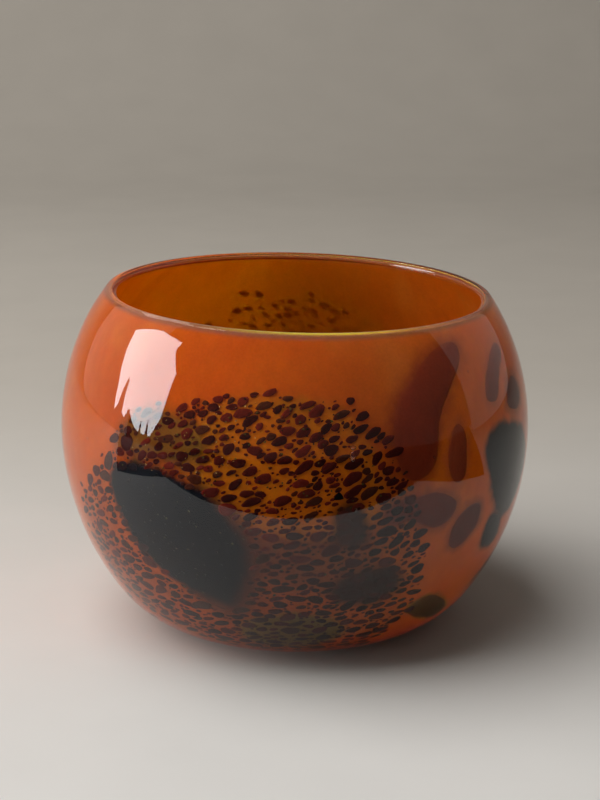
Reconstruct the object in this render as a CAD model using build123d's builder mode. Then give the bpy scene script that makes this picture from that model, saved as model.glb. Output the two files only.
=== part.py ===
from build123d import *
from functools import lru_cache
from math import asin, atan2, cos, degrees, hypot, pi, radians, sin, sqrt
from random import Random
import os

os.makedirs("parts", exist_ok=True)

# A blown art glass bowl: a clear inner gather, an opaque orange overlay on it, colour decoration
# rolled onto the overlay, and a clear casing over everything.  All lengths are in millimetres.
#
# Frame: +Z up, origin at the centre of the flat foot.  -Y is the front, where the decoration is
# densest.  A place on the wall is an azimuth, in degrees from the front (-Y) towards +X, and a level:
# -100 at the foot, 0 at the belly, 100 at the rim.

# ---------------------------------------------------------------- body outline
belly_radius = 75.0          # widest outer radius
belly_height = 63.5          # height of the widest circle
shoulder_arc = belly_radius  # the wall above the belly is part of a sphere
flank_flattening = 11.0      # how much flatter the wall runs below the belly
flank_arc = belly_radius + flank_flattening
foot_arc = 32.0              # curvature radius of the turn into the foot
rim_height = 107.0           # height of the rim's centre
rim_tilt = 1.6               # degrees, the rim plane falls towards +X
rim_allowance = 4.0          # glass above the rim plane, cracked off

# ---------------------------------------------------------------- glass layers
casing_wall = 1.5            # outer clear casing, at the wall
overlay_wall = 0.7           # opaque orange overlay
gather_wall = 1.0            # inner clear gather
casing_floor = 3.0           # the same layers, at the floor
overlay_floor = 1.0
gather_floor = 2.6
lip_outer_round = 1.2        # fire-polished lip, outer edge
lip_inner_round = 0.5        # fire-polished lip, inner edge, sharper because the wall leans in

# ---------------------------------------------------------------- ground pontil under the foot
pontil_radius = 14.0
pontil_depth = 1.2

# ---------------------------------------------------------------- decoration inside the casing
# Lifts are measured outwards from the overlay's outer surface.
ground_thickness = 0.15      # amber ground, fused straight onto the overlay
patch_thickness = 0.30       # colour patches and petals, over the amber ground
chip_thickness = 0.35        # frit chips, over the patches
layer_gap = 0.05             # clear glass between the amber ground and the patches
chip_clearance = 0.10        # clear glass between the patches and the chips
chip_gap = 0.35              # clear glass left between neighbouring chips
bubble_clearance = 0.25      # how far the middle of a seed bubble lies outside the patches
lip_clearance = 2.0          # colour stops this far below the rim
patch_reach = 24.0           # how far an outline is carried in and out to cross the curved wall

ground_lift = 0.0
patch_lift = ground_lift + ground_thickness + layer_gap
chip_lift = patch_lift + patch_thickness + chip_clearance
bubble_lift = patch_lift + patch_thickness + bubble_clearance
rim_plane = Plane.XY.offset(rim_height).rotated((0, rim_tilt, 0))
colour_limit = rim_plane.offset(-lip_clearance)

# ---------------------------------------------------------------- frit chips
chip_corners = 6             # outline points of one melted chip
chip_unevenness = 0.24       # share by which a corner may fall inside the chip's ellipse
flow_lean = 22.0             # degrees, the frit stretched up and to the right as it was blown


def arc_centres(inset, floor):
    """Foot-arc centre (radius, height) of the wall surface `inset` inside the body, flat at `floor`."""
    foot_z = floor + foot_arc - inset
    reach = flank_arc - foot_arc
    foot_x = belly_radius - flank_arc + sqrt(reach**2 - (belly_height - foot_z) ** 2)
    return foot_x, foot_z


def flank_turn(foot_x, foot_z):
    """Angle, seen from the flank arc's centre, at which the flank hands over to the foot arc."""
    return degrees(atan2(foot_z - belly_height, foot_x - (belly_radius - flank_arc)))


def surface_body(inset, floor, mode=Mode.ADD):
    """Everything inside one wall surface: flat floor, foot arc, flank arc, shoulder arc, flat top."""
    foot_x, foot_z = arc_centres(inset, floor)
    turn = flank_turn(foot_x, foot_z)
    top = rim_height + rim_allowance
    shoulder_sweep = degrees(asin((top - belly_height) / (shoulder_arc - inset)))
    with BuildSketch(Plane.XZ) as section:
        with BuildLine():
            Line((0, floor), (foot_x, floor))
            CenterArc((foot_x, foot_z), foot_arc - inset, -90, 90 + turn)
            CenterArc((belly_radius - flank_arc, belly_height), flank_arc - inset, turn, -turn)
            shoulder = CenterArc(
                (belly_radius - shoulder_arc, belly_height), shoulder_arc - inset, 0, shoulder_sweep
            )
            Polyline(shoulder @ 1, (0, top), (0, floor))
        make_face()
    revolve(section.sketch, axis=Axis.Z, mode=mode)


def lifted_body(lift, mode=Mode.ADD):
    """Everything inside the surface that lies `lift` outside the overlay."""
    surface_body(casing_wall - lift, casing_floor - lift, mode)


def height_at(level):
    """Height of a level, so that decoration keeps its place between foot, belly and rim."""
    if level > 0:
        return belly_height + (rim_height - belly_height) * level / 100
    return belly_height * (1 + level / 100)


@lru_cache(maxsize=None)
def wall_frame(azimuth, level, lift=0.0):
    """Plane on the wall: x round the bowl, y up the wall, z outwards; `level` is on the overlay."""
    height = height_at(level)
    foot_x, foot_z = arc_centres(casing_wall, casing_floor)
    turn = flank_turn(foot_x, foot_z)
    turn_height = belly_height + (flank_arc - casing_wall) * sin(radians(turn))
    if height > belly_height:
        centre_x, centre_z, arc = belly_radius - shoulder_arc, belly_height, shoulder_arc
    elif height > turn_height:
        centre_x, centre_z, arc = belly_radius - flank_arc, belly_height, flank_arc
    else:
        centre_x, centre_z, arc = foot_x, foot_z, foot_arc
    slope = asin((height - centre_z) / (arc - casing_wall))
    radius = centre_x + (arc - casing_wall + lift) * cos(slope)
    z = centre_z + (arc - casing_wall + lift) * sin(slope)
    east, north = sin(radians(azimuth)), -cos(radians(azimuth))
    return Plane(
        origin=(radius * east, radius * north, z),
        x_dir=(-north, east, 0),
        z_dir=(cos(slope) * east, cos(slope) * north, sin(slope)),
    )


def colour_patch(lift, thickness, outlines):
    """Sheets of colour that follow the wall, each cut to a closed smooth outline."""
    for azimuth, level, points in outlines:
        with BuildSketch(wall_frame(azimuth, level)) as sheet:
            with BuildLine():
                Spline(*points, periodic=True)
            make_face()
        extrude(sheet.sketch, amount=patch_reach, both=True)
    lifted_body(lift + thickness, Mode.INTERSECT)
    lifted_body(lift, Mode.SUBTRACT)
    split(bisect_by=colour_limit, keep=Keep.BOTTOM)


def clear_of(place, others):
    """True if a chip placed at (azimuth, level, length, width, lean) stays off all the others."""
    azimuth, level, length, width, lean = place
    frame = wall_frame(azimuth, level)
    turn = radians(lean)
    for other in others:
        offset = wall_frame(other[0], other[1]).origin - frame.origin
        right, up = offset.dot(frame.x_dir), offset.dot(frame.y_dir)
        along = (right * cos(turn) + up * sin(turn)) / ((length + other[2]) / 2 + chip_gap)
        across = (up * cos(turn) - right * sin(turn)) / ((width + other[3]) / 2 + chip_gap)
        if hypot(along, across) < 1:
            return False
    return True


def scatter(seed, count, azimuths, levels, lengths, slimness, lean_spread):
    """Random chip places within a window of the wall, spaced apart, leaning with the flow."""
    random = Random(seed)
    places = []
    for _ in range(count):
        length = random.uniform(*lengths)
        place = (
            random.uniform(*azimuths),
            random.uniform(*levels),
            length,
            length * random.uniform(*slimness),
            flow_lean + random.uniform(-lean_spread, lean_spread),
        )
        if clear_of(place, taken + places):
            places.append(place)
    return places


def frit(seed, places):
    """Flat melted chips, one solid each, lying parallel to the wall."""
    random = Random(seed)
    chips = []
    for azimuth, level, length, width, lean in places:
        outline = []
        for corner in range(chip_corners):
            angle = 2 * pi * (corner + random.uniform(-0.2, 0.2)) / chip_corners
            share = 1 - random.uniform(0, chip_unevenness)
            point = Vector(length / 2 * share * cos(angle), width / 2 * share * sin(angle))
            outline.append(point.rotate(Axis.Z, lean))
        with BuildSketch(wall_frame(azimuth, level, chip_lift)) as chip:
            with BuildLine():
                Spline(*outline, periodic=True)
            make_face()
        chips.append(chip.sketch.face())
    extrude(chips, amount=chip_thickness, clean=False)


# ---------------------------------------------------------------- chip places
# The places taken so far, so that no group runs into another.  Bubbles come first:
# (azimuth, level, length, width, lean).
bubbles = [
    (13, 24, 0.9, 0.9, 0),
    (14, -9, 0.8, 0.8, 0),
    (-2, -26, 0.7, 0.7, 0),
    (33, 17, 0.7, 0.7, 0),
    (-57, 15, 0.8, 0.8, 0),
    (76, -29, 0.8, 0.8, 0),
    (128, 6, 0.9, 0.9, 0),
    (-150, -18, 0.8, 0.8, 0),
]
inclusion = (9.5, -1, 2.8, 2.8, 15)
large_chips = [
    (-48, 6, 6.4, 4.0, 70),
    (-42, 22, 5.2, 4.6, 20),
    (-37, 16, 4.0, 2.6, 50),
    (8, 29, 4.2, 3.4, 10),
    (7.5, 18, 4.6, 2.8, 25),
    (5, 54, 5.0, 3.0, 30),
    (2, 41, 4.4, 2.8, 25),
    (18.5, 22, 4.8, 2.6, 65),
    (-12, 52, 5.2, 2.6, 20),
    (-9, 29, 4.6, 2.8, 15),
    (24, -26, 5.6, 2.6, 35),
    (14, -35, 6.2, 2.8, 10),
    (-3, -48, 6.0, 2.6, 5),
]
taken = bubbles + [inclusion] + large_chips

shoulder_places = scatter(11, 30, (-34, 14), (10, 61), (3.2, 5.4), (0.45, 0.65), 16)
taken += shoulder_places
flank_places = scatter(12, 36, (-58, 29), (-53, 8), (3.6, 6.2), (0.40, 0.60), 14)
taken += flank_places
base_places = scatter(13, 22, (-62, 32), (-83, -54), (3.8, 6.4), (0.38, 0.55), 12)
taken += base_places
left_places = scatter(14, 14, (-165, -100), (-69, 47), (3.4, 5.8), (0.40, 0.65), 24)
taken += left_places
right_places = scatter(15, 8, (96, 126), (-75, 66), (3.0, 4.6), (0.40, 0.65), 24)
taken += right_places
back_places = scatter(16, 16, (126, 228), (-65, 75), (3.8, 6.6), (0.40, 0.65), 24)

# ---------------------------------------------------------------- decoration
# Outlines are (round the bowl, up the wall) from the stated azimuth and level.
with BuildPart() as amber_ground_front:
    colour_patch(
        ground_lift,
        ground_thickness,
        [
            (-2, 22, [(-27, 8), (-14, 17), (0, 17), (13, 15), (22, 5), (27, -8), (24, -19),
                      (4, -21), (-14, -18), (-27, -6)]),
        ],
    )
amber_ground_front.part.label = "amber_ground_front"

with BuildPart() as amber_ground_back:
    colour_patch(
        ground_lift,
        ground_thickness,
        [
            (176, 6, [(-32, 4), (-18, 20), (4, 24), (26, 14), (33, -6), (16, -22), (-8, -26),
                       (-26, -16)]),
        ],
    )
amber_ground_back.part.label = "amber_ground_back"

with BuildPart() as slate_patch_front:
    colour_patch(
        patch_lift,
        patch_thickness,
        [
            (-27, -21, [(-25, 4), (-25, 13), (-16, 18), (-4, 17), (8, 14), (18, 6), (23, -6),
                       (20, -20), (12, -29), (3, -25), (-8, -17), (-18, -7)]),
        ],
    )
slate_patch_front.part.label = "slate_patch_front"

with BuildPart() as slate_blob_right:
    colour_patch(
        patch_lift,
        patch_thickness,
        [
            (64, -6, [(-18, 7), (-15, 13), (-8, 15), (2, 13), (11, 7), (15, -2), (10, -12),
                      (1, -17), (-8, -14), (-14, -5)]),
            (56, -37, [(-1, 7), (6, 5), (9, -3), (5, -7), (-2, -5), (-4, 1)]),
        ],
    )
slate_blob_right.part.label = "slate_blob_right"

with BuildPart() as slate_merges_flank:
    colour_patch(
        patch_lift,
        patch_thickness,
        [
            (14, -10, [(-7, 0), (-3, 4), (2, 2), (4, -8), (-1, -11), (-6, -9)]),
            (20, -48, [(-14, -2), (-8, 5), (5, 6), (9, -3), (1, -8), (-9, -7)]),
        ],
    )
slate_merges_flank.part.label = "slate_merges_flank"

with BuildPart() as slate_patch_back:
    colour_patch(
        patch_lift,
        patch_thickness,
        [
            (-160, -31, [(-18, 8), (-7, 16), (8, 14), (18, 4), (14, -12), (0, -18), (-14, -12)]),
        ],
    )
slate_patch_back.part.label = "slate_patch_back"

with BuildPart() as violet_petal_tall:
    colour_patch(
        patch_lift,
        patch_thickness,
        [
            (32, 38, [(-13, 0), (-10, 9), (-4, 15), (6, 22), (16, 24), (19, 19), (11, 9), (5, -2),
                      (2, -13), (-5, -17), (-11, -13)]),
        ],
    )
violet_petal_tall.part.label = "violet_petal_tall"

with BuildPart() as violet_petal_slim:
    colour_patch(
        patch_lift,
        patch_thickness,
        [
            (41, 17, [(-6, 0), (-3, 7), (1, 9), (4, 3), (3, -8), (-1, -11), (-5, -7)]),
        ],
    )
violet_petal_slim.part.label = "violet_petal_slim"

with BuildPart() as violet_streaks_shoulder:
    colour_patch(
        patch_lift,
        patch_thickness,
        [
            (57, 59, [(-6, -7), (-4, 0), (3, 7), (11, 9), (13, 5), (6, -2), (0, -9)]),
            (68, 43, [(-8, -5), (-7, 1), (-1, 5), (5, 3), (7, -3), (1, -8)]),
        ],
    )
violet_streaks_shoulder.part.label = "violet_streaks_shoulder"

with BuildPart() as violet_petals_flank:
    colour_patch(
        patch_lift,
        patch_thickness,
        [
            (30, -12, [(-13, 0), (-9, 4), (-3, 5), (6, 5), (14, 0), (12, -6), (5, -8), (-4, -4),
                      (-10, -4)]),
            (44, -26, [(0, 7), (7, 6), (8, -1), (4, -6), (-2, -9), (-6, -6), (-6, 1)]),
        ],
    )
violet_petals_flank.part.label = "violet_petals_flank"

with BuildPart() as violet_streaks_low:
    colour_patch(
        patch_lift,
        patch_thickness,
        [
            (66, -62, [(6, 6), (5, 0), (-2, -6), (-6, -5), (-1, 2)]),
            (91, -37, [(6, 7), (5, -1), (-3, -7), (-7, -5), (-1, 3)]),
        ],
    )
violet_streaks_low.part.label = "violet_streaks_low"

with BuildPart() as violet_petals_back:
    colour_patch(
        patch_lift,
        patch_thickness,
        [
            (108, 29, [(-7, 3), (0, 15), (7, 12), (6, -4), (0, -14), (-6, -9)]),
            (139, -9, [(-5, 6), (3, 13), (7, 4), (4, -9), (-2, -13), (-6, -5)]),
            (-118, 15, [(-8, 2), (-2, 12), (6, 13), (8, 1), (3, -12), (-5, -11)]),
            (-92, -18, [(-5, 5), (2, 11), (6, 4), (4, -8), (-1, -12), (-6, -5)]),
        ],
    )
violet_petals_back.part.label = "violet_petals_back"

with BuildPart() as olive_patch_shoulder:
    colour_patch(
        patch_lift,
        patch_thickness,
        [
            (-33, 26, [(-15, -4), (-13, 4), (-4, 9), (7, 9), (15, 5), (16, -2), (9, -5), (-3, -5)]),
        ],
    )
olive_patch_shoulder.part.label = "olive_patch_shoulder"

with BuildPart() as olive_patch_foot:
    colour_patch(
        patch_lift,
        patch_thickness,
        [
            (-1, -75, [(-16, 0), (-8, 7), (4, 9), (14, 4), (15, -4), (6, -9), (-6, -9), (-14, -6)]),
        ],
    )
olive_patch_foot.part.label = "olive_patch_foot"

with BuildPart() as olive_blob_right:
    colour_patch(
        patch_lift,
        patch_thickness,
        [
            (40, -69, [(-8, 2), (-2, 5), (6, 2), (13, -6), (10, -10), (2, -8), (-6, -3)]),
        ],
    )
olive_blob_right.part.label = "olive_blob_right"

with BuildPart() as frit_chips_large:
    frit(21, large_chips)
frit_chips_large.part.label = "frit_chips_large"

with BuildPart() as frit_chips_shoulder:
    frit(22, shoulder_places)
frit_chips_shoulder.part.label = "frit_chips_shoulder"

with BuildPart() as frit_chips_flank:
    frit(23, flank_places)
frit_chips_flank.part.label = "frit_chips_flank"

with BuildPart() as frit_chips_foot:
    frit(24, base_places)
frit_chips_foot.part.label = "frit_chips_foot"

with BuildPart() as frit_chips_left:
    frit(25, left_places)
frit_chips_left.part.label = "frit_chips_left"

with BuildPart() as frit_chips_right:
    frit(26, right_places)
frit_chips_right.part.label = "frit_chips_right"

with BuildPart() as frit_chips_back:
    frit(27, back_places)
frit_chips_back.part.label = "frit_chips_back"

# A three-cornered dark stone caught in the glass.
with BuildPart() as dark_inclusion:
    with BuildSketch(wall_frame(inclusion[0], inclusion[1], chip_lift)):
        RegularPolygon(inclusion[2] / 2, 3, rotation=inclusion[4])
    extrude(amount=chip_thickness)
dark_inclusion.part.label = "dark_inclusion"

colour_sheets = [
    amber_ground_front,
    amber_ground_back,
    slate_patch_front,
    slate_blob_right,
    slate_merges_flank,
    slate_patch_back,
    violet_petal_tall,
    violet_petal_slim,
    violet_streaks_shoulder,
    violet_petals_flank,
    violet_streaks_low,
    violet_petals_back,
    olive_patch_shoulder,
    olive_patch_foot,
    olive_blob_right,
]
frit_groups = [
    frit_chips_large,
    frit_chips_shoulder,
    frit_chips_flank,
    frit_chips_foot,
    frit_chips_left,
    frit_chips_right,
    frit_chips_back,
    dark_inclusion,
]

# ---------------------------------------------------------------- glass layers
overlay_inset = casing_wall + overlay_wall
cavity_inset = overlay_inset + gather_wall
overlay_base = casing_floor + overlay_floor
cavity_floor = overlay_base + gather_floor

with BuildPart() as outer_clear_casing:
    surface_body(0.0, 0.0)
    surface_body(casing_wall, casing_floor, Mode.SUBTRACT)
    split(bisect_by=rim_plane, keep=Keep.BOTTOM)
    lip = outer_clear_casing.faces().filter_by(rim_plane).sort_by(SortBy.AREA)[-1]
    fillet(lip.outer_wire().edges(), min(lip_outer_round, casing_wall))
    # The foot is flat; the pontil scar has been ground out to a shallow spherical hollow.
    pontil_sphere = (pontil_radius**2 + pontil_depth**2) / (2 * pontil_depth)
    with Locations((0, 0, pontil_depth - pontil_sphere)):
        Sphere(pontil_sphere, mode=Mode.SUBTRACT)
    for azimuth, level, length, width, lean in bubbles:
        with Locations(wall_frame(azimuth, level, bubble_lift)):
            Sphere(length / 2, mode=Mode.SUBTRACT)
    # The casing closed round every piece of colour as it was gathered over them.
    add([piece.part for piece in colour_sheets], mode=Mode.SUBTRACT, clean=False)
    add([piece.part for piece in frit_groups], mode=Mode.SUBTRACT, clean=False)
outer_clear_casing.part.label = "outer_clear_casing"

with BuildPart() as orange_overlay:
    surface_body(casing_wall, casing_floor)
    surface_body(overlay_inset, overlay_base, Mode.SUBTRACT)
    split(bisect_by=rim_plane, keep=Keep.BOTTOM)
orange_overlay.part.label = "orange_overlay"

with BuildPart() as inner_clear_gather:
    surface_body(overlay_inset, overlay_base)
    surface_body(cavity_inset, cavity_floor, Mode.SUBTRACT)
    split(bisect_by=rim_plane, keep=Keep.BOTTOM)
    lip = inner_clear_gather.faces().filter_by(rim_plane).sort_by(SortBy.AREA)[-1]
    fillet(lip.inner_wires().edges(), min(lip_inner_round, gather_wall / 2))
inner_clear_gather.part.label = "inner_clear_gather"

for piece in [outer_clear_casing, orange_overlay, inner_clear_gather] + colour_sheets + frit_groups:
    export_step(piece.part, f"parts/{piece.part.label}.step")
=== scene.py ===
import math

import bpy
import numpy as np
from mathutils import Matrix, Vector


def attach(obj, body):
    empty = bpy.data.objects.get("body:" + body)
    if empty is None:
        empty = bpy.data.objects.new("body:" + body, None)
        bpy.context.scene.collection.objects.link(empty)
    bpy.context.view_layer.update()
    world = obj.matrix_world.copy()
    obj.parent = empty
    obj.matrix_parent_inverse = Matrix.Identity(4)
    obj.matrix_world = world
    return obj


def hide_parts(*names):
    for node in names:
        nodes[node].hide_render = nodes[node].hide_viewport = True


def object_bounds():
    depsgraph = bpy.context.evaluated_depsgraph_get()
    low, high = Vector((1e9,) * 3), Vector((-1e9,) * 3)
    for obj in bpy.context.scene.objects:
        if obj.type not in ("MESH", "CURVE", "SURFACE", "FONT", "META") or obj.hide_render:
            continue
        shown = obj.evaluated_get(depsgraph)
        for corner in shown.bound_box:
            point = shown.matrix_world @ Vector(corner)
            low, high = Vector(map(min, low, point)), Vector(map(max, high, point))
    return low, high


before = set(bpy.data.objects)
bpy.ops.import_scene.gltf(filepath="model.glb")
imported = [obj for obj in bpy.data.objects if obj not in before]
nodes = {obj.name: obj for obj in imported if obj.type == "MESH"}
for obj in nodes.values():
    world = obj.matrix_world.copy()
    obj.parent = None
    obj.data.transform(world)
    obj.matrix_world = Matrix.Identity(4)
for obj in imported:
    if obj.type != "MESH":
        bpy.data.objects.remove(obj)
cad_low, cad_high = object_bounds()
MM = 0.001

# ------------------------------------------------------------------ the bowl's form, in mm
BELLY_R = cad_high.x / MM
BELLY_Z = 63.5
SHOULDER, FLANK, FOOT = 75.0, 86.0, 32.0
RIM_Z, RIM_TILT = 107.0, math.radians(1.6)
CASING, OVERLAY, GATHER = 1.5, 0.7, 1.0
WALL = CASING + OVERLAY + GATHER
FLOOR_CASING, FLOOR_OVERLAY, FLOOR_GATHER = 3.0, 1.0, 2.6
PONTIL_R, PONTIL_DEPTH = 14.0, 1.2
SHOULDER_X = BELLY_R - SHOULDER
FLANK_X = BELLY_R - FLANK


# ------------------------------------------------------------------ seeded smooth noise
def lattice(ix, iy, iz, seed):
    h = (ix * 374761393 + iy * 668265263 + iz * 2147483647 + seed * 974634777) & 0xFFFFFFFF
    h = ((h ^ (h >> 13)) * 1274126177) & 0xFFFFFFFF
    h = ((h ^ (h >> 16)) * 2246822519) & 0xFFFFFFFF
    return ((h ^ (h >> 15)) & 0xFFFFFF) / float(0xFFFFFF)


def noise(p, size, seed):
    """Smooth value noise from -1 to 1 at points p (n x 3, mm), with features about size mm across."""
    q = np.asarray(p, float) / size
    base = np.floor(q).astype(np.int64)
    f = q - base
    f = f * f * (3 - 2 * f)
    total = 0
    for dx in (0, 1):
        for dy in (0, 1):
            for dz in (0, 1):
                w = (
                    (f[:, 0] if dx else 1 - f[:, 0])
                    * (f[:, 1] if dy else 1 - f[:, 1])
                    * (f[:, 2] if dz else 1 - f[:, 2])
                )
                total = total + w * lattice(base[:, 0] + dx, base[:, 1] + dy, base[:, 2] + dz, seed)
    return total * 2 - 1


def clouds(p, size, seed, octaves=3):
    total, gain = 0, 0
    for k in range(octaves):
        total = total + noise(p, size / 2**k, seed + 17 * k) / 2**k
        gain += 1 / 2**k
    return total / gain


def smooth(x, low, high):
    t = np.clip((x - low) / (high - low), 0, 1)
    return t * t * (3 - 2 * t)


# ------------------------------------------------------------------ wall surfaces
class Wall:
    """One surface of the wall, `inset` inside the body and flat at `floor`.

    A place on it is (azimuth, climb): azimuth in radians from the front (-Y) towards +X, and climb
    the arc length up the profile from the belly, negative below it.
    """

    def __init__(self, inset, floor):
        self.inset = inset
        self.foot_z = floor + FOOT - inset
        self.foot_x = FLANK_X + math.sqrt((FLANK - FOOT) ** 2 - (BELLY_Z - self.foot_z) ** 2)
        self.turn = math.atan2(self.foot_z - BELLY_Z, self.foot_x - FLANK_X)
        self.shoulder_r = SHOULDER - inset
        self.flank_r = FLANK - inset
        self.foot_r = FOOT - inset
        self.flank_end = self.flank_r * self.turn
        self.foot_end = self.flank_end - self.foot_r * (math.pi / 2 + self.turn)
        self.centre = self.foot_end - self.foot_x

    def section(self, climb, lift=0.0):
        """(radius, height, slope of the outward normal) at each climb."""
        climb = np.asarray(climb, float)
        up = climb / self.shoulder_r
        mid = climb / self.flank_r
        low = np.maximum(self.turn + (climb - self.flank_end) / self.foot_r, -math.pi / 2)
        slope = np.where(climb >= 0, up, np.where(climb >= self.flank_end, mid, low))
        cx = np.where(climb >= 0, SHOULDER_X, np.where(climb >= self.flank_end, FLANK_X, self.foot_x))
        cz = np.where(climb >= self.flank_end, BELLY_Z, self.foot_z)
        arc = np.where(
            climb >= 0, self.shoulder_r, np.where(climb >= self.flank_end, self.flank_r, self.foot_r)
        )
        r = cx + (arc + lift) * np.cos(slope)
        z = cz + (arc + lift) * np.sin(slope)
        r = np.maximum(np.where(climb < self.foot_end, self.foot_x + climb - self.foot_end, r), 0.0)
        return r, z, slope

    def point(self, azimuth, climb, lift=0.0):
        r, z, slope = self.section(climb, lift)
        return np.stack([r * np.sin(azimuth), -r * np.cos(azimuth), z], -1)

    def normal(self, azimuth, climb):
        slope = self.section(climb)[2]
        return np.stack(
            [np.cos(slope) * np.sin(azimuth), -np.cos(slope) * np.cos(azimuth), np.sin(slope)], -1
        )

    def rim(self, azimuth):
        """Climb at which this surface meets the tilted rim plane."""
        azimuth = np.asarray(azimuth, float)
        a = np.full(azimuth.shape, 0.6)
        for _ in range(8):
            x = (SHOULDER_X + self.shoulder_r * np.cos(a)) * np.sin(azimuth)
            height = RIM_Z - x * math.tan(RIM_TILT) - BELLY_Z
            a = np.arcsin(height / self.shoulder_r)
        return a * self.shoulder_r

    def climb_at(self, height):
        if height > BELLY_Z:
            return self.shoulder_r * math.asin((height - BELLY_Z) / self.shoulder_r)
        if height > BELLY_Z + self.flank_r * math.sin(self.turn):
            return self.flank_r * math.asin((height - BELLY_Z) / self.flank_r)
        a = math.asin(max(-1.0, (height - self.foot_z) / self.foot_r))
        return self.flank_end + (a - self.turn) * self.foot_r


outer = Wall(0.0, 0.0)
ground = Wall(CASING, FLOOR_CASING)
under = Wall(CASING + OVERLAY, FLOOR_CASING + FLOOR_OVERLAY)
cavity = Wall(WALL, FLOOR_CASING + FLOOR_OVERLAY + FLOOR_GATHER)


# ------------------------------------------------------------------ mesh helpers
def make_mesh(name, points, faces, smooth_faces=True):
    mesh = bpy.data.meshes.new(name)
    mesh.from_pydata((np.asarray(points) * MM).tolist(), [], faces)
    mesh.update()
    if smooth_faces:
        mesh.polygons.foreach_set("use_smooth", [True] * len(mesh.polygons))
    obj = bpy.data.objects.new(name, mesh)
    bpy.context.scene.collection.objects.link(obj)
    return obj


def lathe(name, rings):
    """Closed skin through rings, each (n x 3); the first and last ring shrink to a point."""
    n = len(rings[0])
    pts = [rings[0].mean(0, keepdims=True)] + [r for r in rings[1:-1]] + [rings[-1].mean(0, keepdims=True)]
    starts = np.cumsum([0] + [len(p) for p in pts])
    faces = []
    i = np.arange(n)
    j = (i + 1) % n
    first = starts[1]
    faces += [(0, int(first + b), int(first + a)) for a, b in zip(i, j)]
    for k in range(1, len(pts) - 2):
        a, b = starts[k], starts[k + 1]
        faces += [
            (int(a + p), int(a + q), int(b + q), int(b + p)) for p, q in zip(i, j)
        ]
    last, end = starts[len(pts) - 2], starts[len(pts) - 1]
    faces += [(int(last + a), int(last + b), int(end)) for a, b in zip(i, j)]
    return make_mesh(name, np.concatenate(pts), faces)


def paint(obj, colours, name="Tint"):
    layer = obj.data.color_attributes.new(name, "FLOAT_COLOR", "POINT")
    rgba = np.ones((len(obj.data.vertices), 4), np.float32)
    rgba[:, :3] = colours
    layer.data.foreach_set("color", rgba.ravel())
    obj.data.color_attributes.active_color = layer


def points_of(obj):
    co = np.empty(len(obj.data.vertices) * 3, np.float32)
    obj.data.vertices.foreach_get("co", co)
    return co.reshape(-1, 3).astype(float) / MM


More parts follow.
